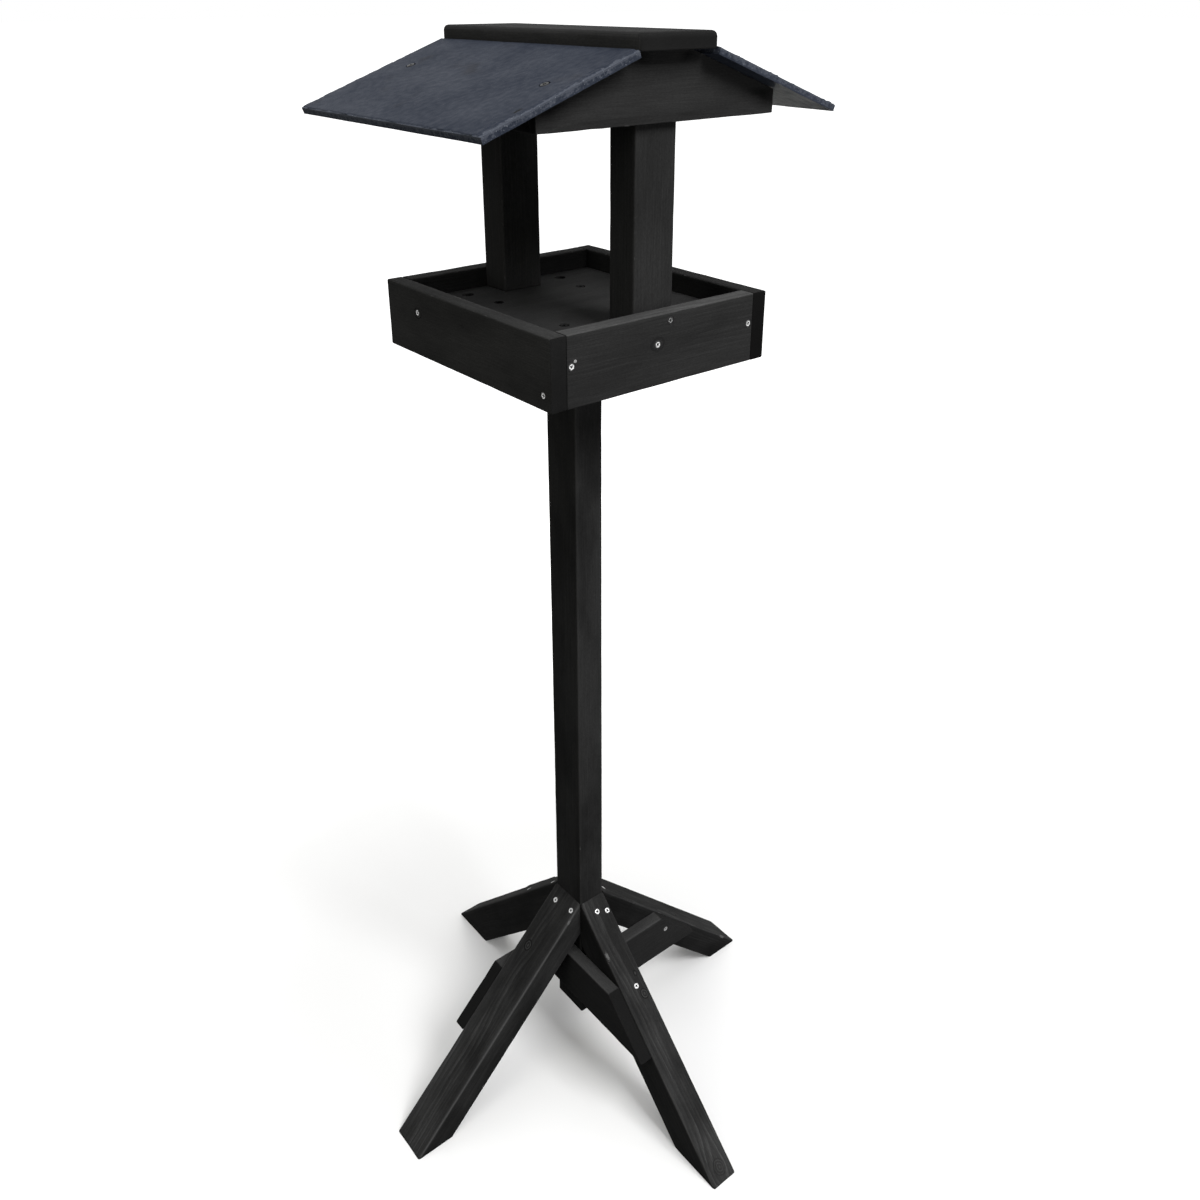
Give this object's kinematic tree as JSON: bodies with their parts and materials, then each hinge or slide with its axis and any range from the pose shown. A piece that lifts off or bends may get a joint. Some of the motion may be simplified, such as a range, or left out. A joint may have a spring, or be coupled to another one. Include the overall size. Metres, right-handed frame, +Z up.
{
  "type": "bird table",
  "caption": "Roofed wooden feeding tray on a tall post that stands on crossed, braced legs; slate roof with a ridge board.",
  "frame": {"origin": "on the ground under the axis of the post, at the centre of the four feet", "axes": "+Z up, the roof's ridge along Y, the front gable faces -Y, +X to the right"},
  "size_m": [0.565, 0.58, 1.32],
  "materials": {
    "timber": "black stained planed softwood",
    "board": "black stained planed softwood board",
    "ply": "black stained plywood",
    "slate": "riven dark blue-grey slate",
    "zinc_screw": "bright zinc plated",
    "black_screw": "black phosphate"
  },
  "bodies": {
    "root": {"bearer_front": "timber", "bearer_rear": "timber", "brace_front": "board", "brace_front_screw": "zinc_screw", "brace_left": "board", "brace_left_screw": "zinc_screw", "brace_rear": "board", "brace_rear_screw": "zinc_screw", "brace_right": "board", "brace_right_screw": "zinc_screw", "floor_screw_front_left": "black_screw", "floor_screw_front_right": "black_screw", "floor_screw_rear_left": "black_screw", "floor_screw_rear_right": "black_screw", "gable_front": "board", "gable_rear": "board", "leg_front": "timber", "leg_front_screw_lower": "zinc_screw", "leg_front_screw_middle": "zinc_screw", "leg_front_screw_upper": "zinc_screw", "leg_left": "timber", "leg_left_screw_lower": "zinc_screw", "leg_left_screw_upper": "zinc_screw", "leg_rear": "timber", "leg_rear_screw_lower": "zinc_screw", "leg_rear_screw_middle": "zinc_screw", "leg_rear_screw_upper": "zinc_screw", "leg_right": "timber", "leg_right_screw_lower": "zinc_screw", "leg_right_screw_upper": "zinc_screw", "post": "timber", "rafter_front_left": "timber", "rafter_front_right": "timber", "rafter_rear_left": "timber", "rafter_rear_right": "timber", "ridge_cap": "board", "slate_left": "slate", "slate_left_screw_a": "black_screw", "slate_left_screw_b": "black_screw", "slate_right": "slate", "slate_right_screw_a": "black_screw", "slate_right_screw_b": "black_screw", "tray_floor": "ply", "tray_front": "board", "tray_front_screw_corner_a": "zinc_screw", "tray_front_screw_corner_b": "zinc_screw", "tray_front_screw_floor": "zinc_screw", "tray_front_screw_upright": "zinc_screw", "tray_left": "board", "tray_left_screw_end": "zinc_screw", "tray_left_screw_floor": "zinc_screw", "tray_rear": "board", "tray_rear_screw_corner_a": "zinc_screw", "tray_rear_screw_corner_b": "zinc_screw", "tray_rear_screw_upright": "zinc_screw", "tray_right": "board", "tray_right_screw_end": "zinc_screw", "tray_right_screw_floor": "zinc_screw", "upright_front": "timber", "upright_rear": "timber"}
  },
  "joints": []
}
